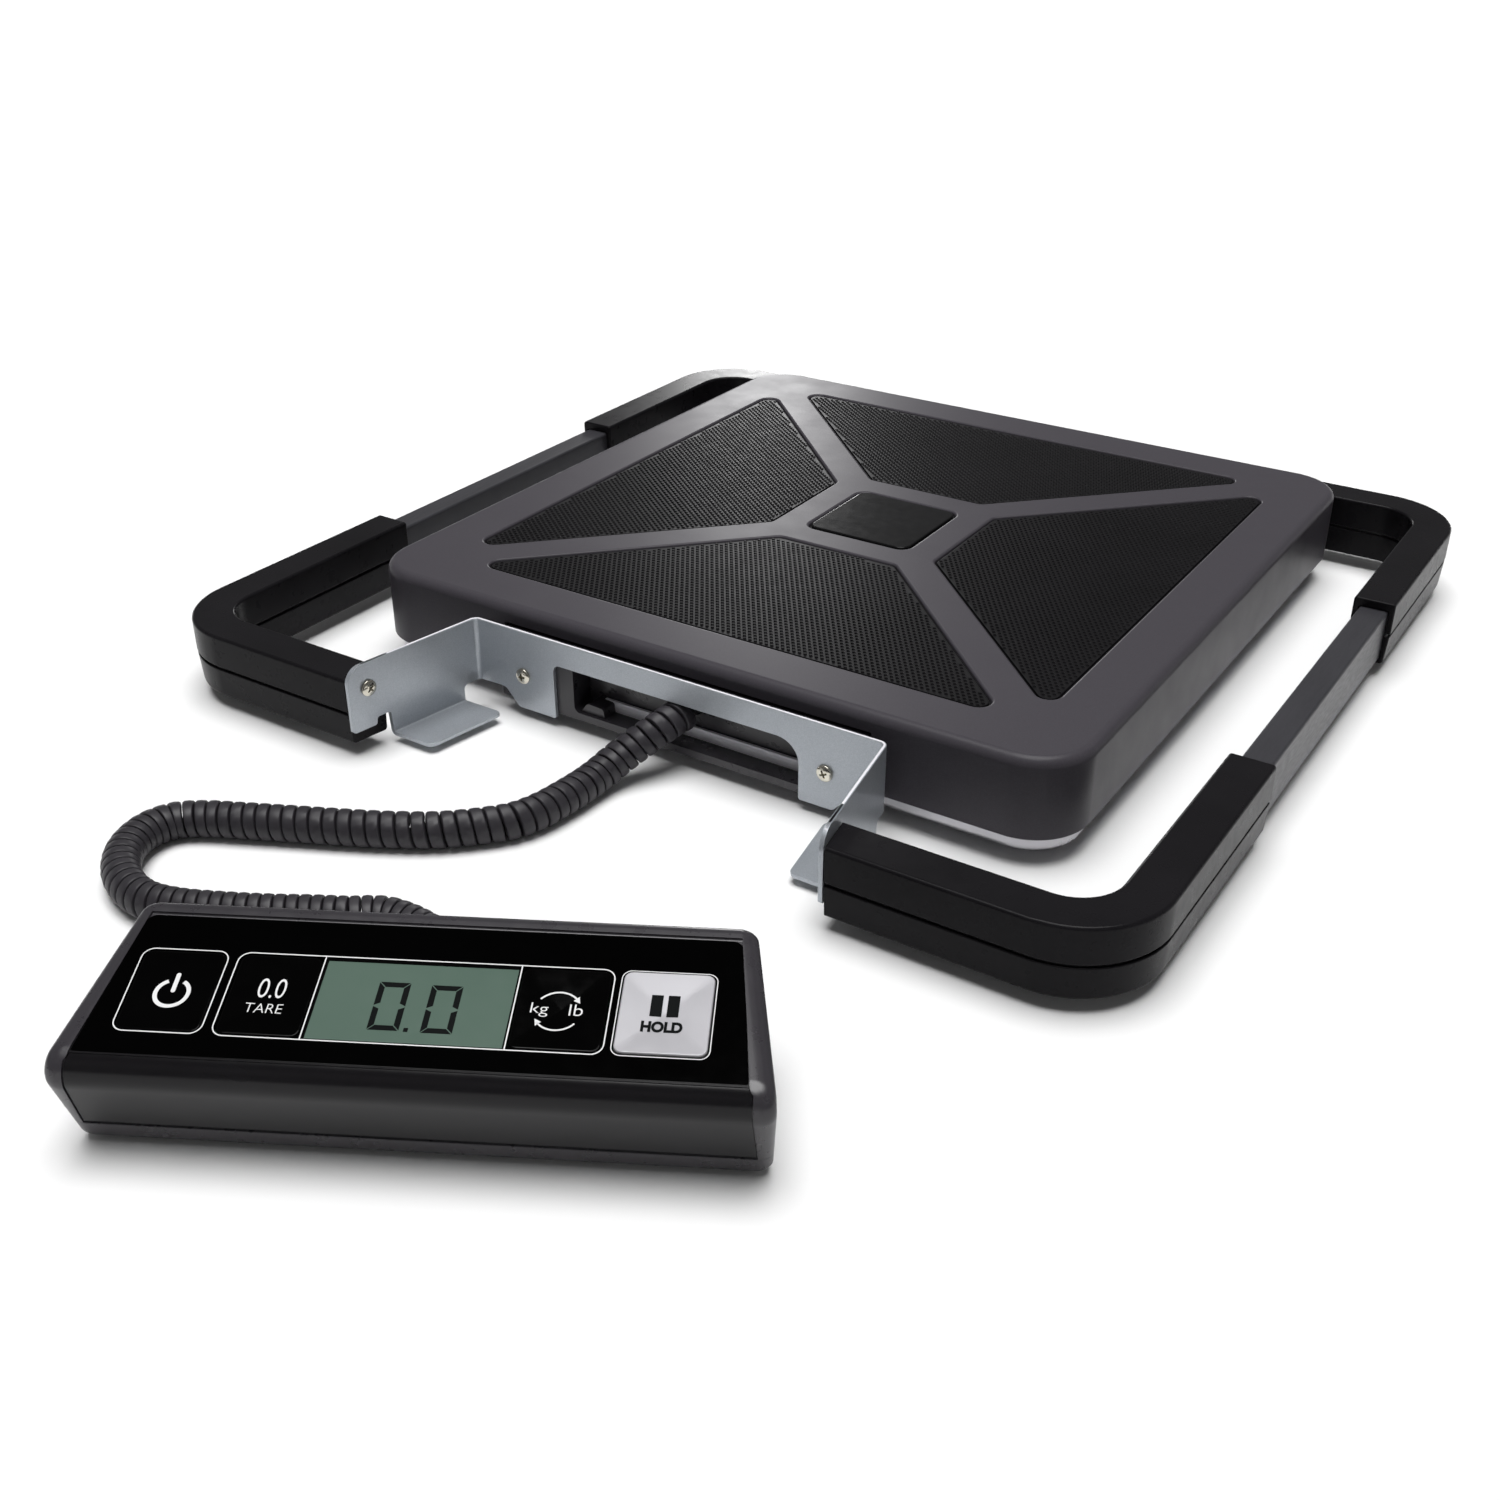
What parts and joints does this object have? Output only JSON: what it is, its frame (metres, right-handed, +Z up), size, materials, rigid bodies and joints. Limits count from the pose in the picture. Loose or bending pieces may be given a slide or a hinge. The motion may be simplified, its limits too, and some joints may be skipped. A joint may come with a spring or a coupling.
{
  "type": "platform shipping scale",
  "caption": "Low square platform shipping scale with corner-gripped side rails, a front dock bracket and a detached wedge-shaped display on a curly cord",
  "frame": {"origin": "On the surface the scale stands on, under the middle of the outline of the base and the display together", "axes": "+X to the scale's right, +Y from the display to the back of the platform, +Z up"},
  "size_m": [0.4032, 0.5868, 0.0453],
  "materials": {
    "platform_cover": "satin charcoal paint with a fine grain",
    "grip_pad": "moulded rubber with a lattice of small raised bumps",
    "badge": "polished dark plastic",
    "steel": "zinc-plated steel sheet",
    "screw": "nickel-plated",
    "rubber": "matt black rubber",
    "load_cell": "machined aluminium",
    "black_plastic": "fine moulded texture",
    "bracket": "blue-grey satin coating, bare edges",
    "rail": "dark slate paint",
    "grip": "satin black, slightly warm on top",
    "cord": "soft satin charcoal jacket",
    "housing": "satin slate",
    "overlay": "polished black",
    "key": "polished black",
    "hold_key": "silver paint under a clear coat",
    "lcd": "grey-green reflective liquid crystal panel",
    "board": "green solder mask",
    "battery": "plain metal jacket"
  },
  "bodies": {
    "base": {"base_tray": "steel", "load_cell_lower_screw_1": "screw", "load_cell_lower_screw_2": "screw", "front_bracket_screw_left": "screw", "front_bracket_screw_right": "screw", "front_wing_screw_left": "screw", "front_wing_screw_right": "screw", "rear_bracket_screw_left": "screw", "rear_bracket_screw_right": "screw", "rear_wing_screw_left": "screw", "rear_wing_screw_right": "screw", "rubber_foot_front_left": "rubber", "rubber_foot_front_right": "rubber", "rubber_foot_rear_left": "rubber", "rubber_foot_rear_right": "rubber", "base_cord_gland": "rubber", "load_cell": "load_cell", "front_block": "black_plastic", "rear_block": "black_plastic", "front_bracket": "bracket", "rear_bracket": "bracket", "rail_bar_left": "rail", "rail_bar_right": "rail", "grip_front_left_upper": "grip", "grip_front_left_lower": "grip", "grip_front_right_upper": "grip", "grip_front_right_lower": "grip", "grip_rear_left_upper": "grip", "grip_rear_left_lower": "grip", "grip_rear_right_upper": "grip", "grip_rear_right_lower": "grip", "curly_cord": "cord"},
    "platform": {"platform_cover": "platform_cover", "grip_pad_front": "grip_pad", "grip_pad_right": "grip_pad", "grip_pad_rear": "grip_pad", "grip_pad_left": "grip_pad", "badge_plate": "badge", "platform_spider": "steel", "rubber_buffer_front_left": "rubber", "rubber_buffer_front_right": "rubber", "rubber_buffer_rear_left": "rubber", "rubber_buffer_rear_right": "rubber", "load_cell_upper_screw_1": "screw", "load_cell_upper_screw_2": "screw"},
    "display": {"display_top_housing": "housing", "display_bottom_shell": "housing", "display_overlay": "overlay", "lcd_panel": "lcd", "circuit_board": "board", "battery_1": "battery", "battery_2": "battery", "battery_3": "battery", "display_cord_gland": "rubber"},
    "power_key": {"power_key": "key"},
    "tare_key": {"tare_key": "key"},
    "unit_key": {"unit_key": "key"},
    "hold_key": {"hold_key": "hold_key"},
    "battery_door": {"battery_door": "housing"}
  },
  "joints": [
    {"name": "platform_press", "type": "slide", "parent": "base", "child": "platform", "axis": [0, 0, -1], "range_m": [0, 0.0006], "stiffness_N_per_m": 200000, "springref_m": -0.00012, "deforming": ["load_cell"]},
    {"name": "display_slide", "type": "slide", "parent": "base", "child": "display", "axis": [0.4756, -0.8796, 0], "range_m": [0, 0.1]},
    {"name": "power_key_press", "type": "slide", "parent": "display", "child": "power_key", "axis": [-0.1047, 0.1937, -0.9755], "range_m": [0, 0.0006], "stiffness_N_per_m": 1000},
    {"name": "tare_key_press", "type": "slide", "parent": "display", "child": "tare_key", "axis": [-0.1047, 0.1937, -0.9755], "range_m": [0, 0.0006], "stiffness_N_per_m": 1000},
    {"name": "unit_key_press", "type": "slide", "parent": "display", "child": "unit_key", "axis": [-0.1047, 0.1937, -0.9755], "range_m": [0, 0.0006], "stiffness_N_per_m": 1000},
    {"name": "hold_key_press", "type": "slide", "parent": "display", "child": "hold_key", "axis": [-0.1047, 0.1937, -0.9755], "range_m": [0, 0.0006], "stiffness_N_per_m": 1000},
    {"name": "battery_door_slide", "type": "slide", "parent": "display", "child": "battery_door", "axis": [-0.4756, 0.8796, 0], "range_m": [0, 0.032]}
  ]
}
